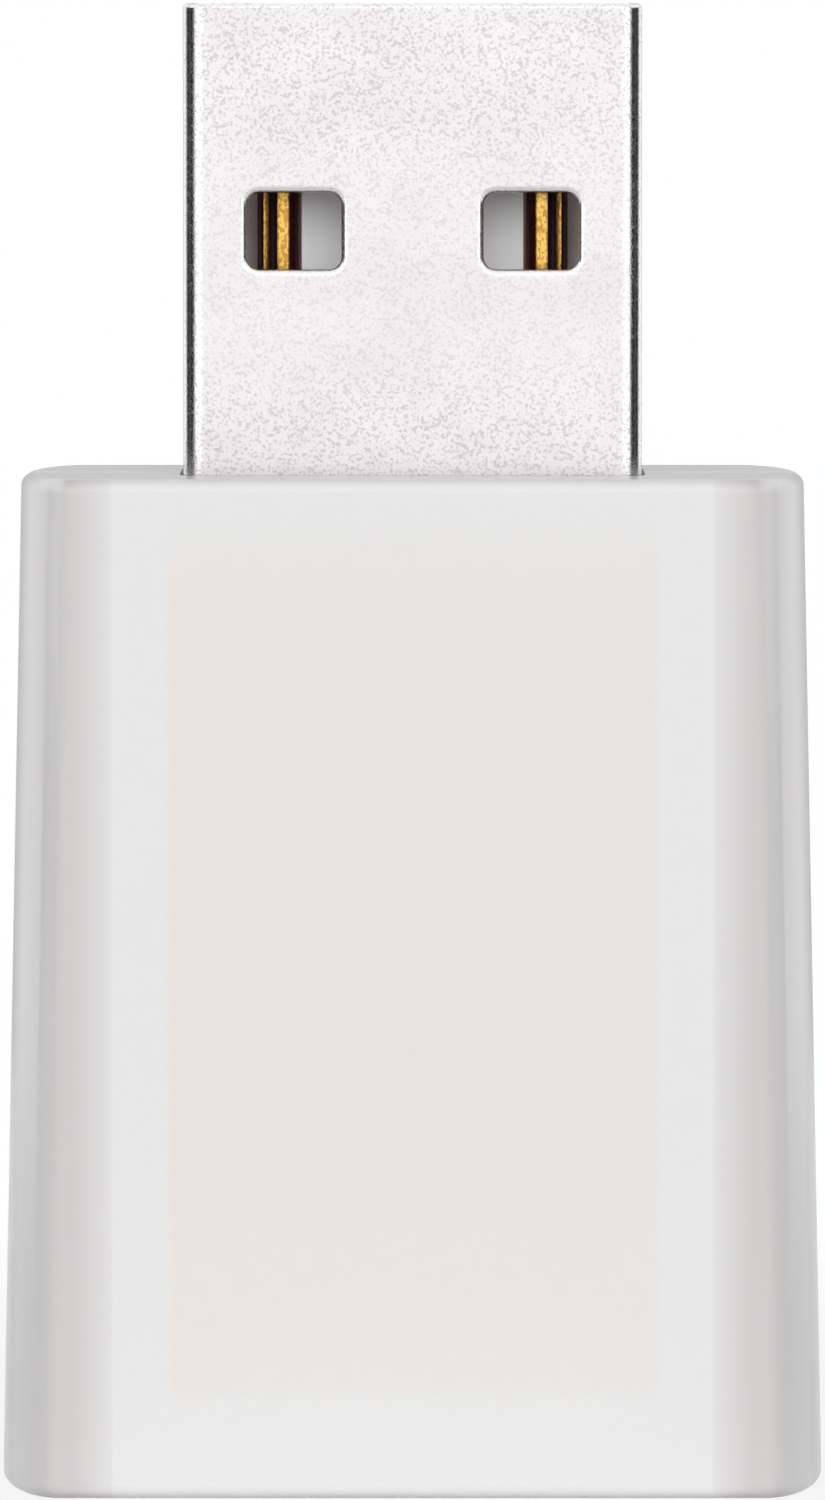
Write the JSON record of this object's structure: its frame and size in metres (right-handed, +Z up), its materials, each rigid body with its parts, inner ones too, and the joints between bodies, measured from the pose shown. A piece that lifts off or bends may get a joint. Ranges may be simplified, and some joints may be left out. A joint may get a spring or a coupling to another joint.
{
  "type": "signal repeater",
  "caption": "Plug-in wireless signal repeater: a slim white tapered housing with a metal plug standing out of its upper end.",
  "frame": {"origin": "middle of the flat lower end of the housing", "axes": "+Z up along the plug, +X to the right, the front face with the open side of the plug looks along -Y"},
  "size_m": [0.0216, 0.009, 0.0389],
  "materials": {
    "housing_white": "glossy moulded",
    "plug_steel": "satin plated",
    "insulator_white": "moulded",
    "contact_gold": "gold plated",
    "board_laminate": "solder mask",
    "module_laminate": "solder mask",
    "chip_resin": "moulded resin",
    "chip_ceramic": "fired, with tinned ends",
    "fuse_resin": "moulded resin, with tinned ends",
    "resistor_ceramic": "fired, with tinned ends",
    "led_resin": "clear resin",
    "crystal_metal": "plated lid",
    "shield_metal": "tinned sheet",
    "trace_copper": "gold flashed",
    "solder": "bright solder"
  },
  "bodies": {
    "root": {"front_cover": "housing_white", "rear_cover": "housing_white", "plug_shell": "plug_steel", "plug_insulator": "insulator_white", "contact_power": "contact_gold", "contact_data_minus": "contact_gold", "contact_data_plus": "contact_gold", "contact_ground": "contact_gold", "main_board": "board_laminate", "input_fuse": "fuse_resin", "input_capacitor": "chip_ceramic", "regulator": "chip_resin", "output_capacitor": "chip_ceramic", "esd_diode": "chip_resin", "bypass_capacitor": "chip_ceramic", "led_resistor": "resistor_ceramic", "status_led": "led_resin", "module_board": "module_laminate", "radio_chip": "chip_resin", "crystal": "crystal_metal", "module_capacitors": "chip_ceramic", "antenna_inductor": "resistor_ceramic", "antenna_trace": "trace_copper", "shield_can": "shield_metal", "module_solder": "solder", "plug_solder": "solder"}
  },
  "joints": []
}
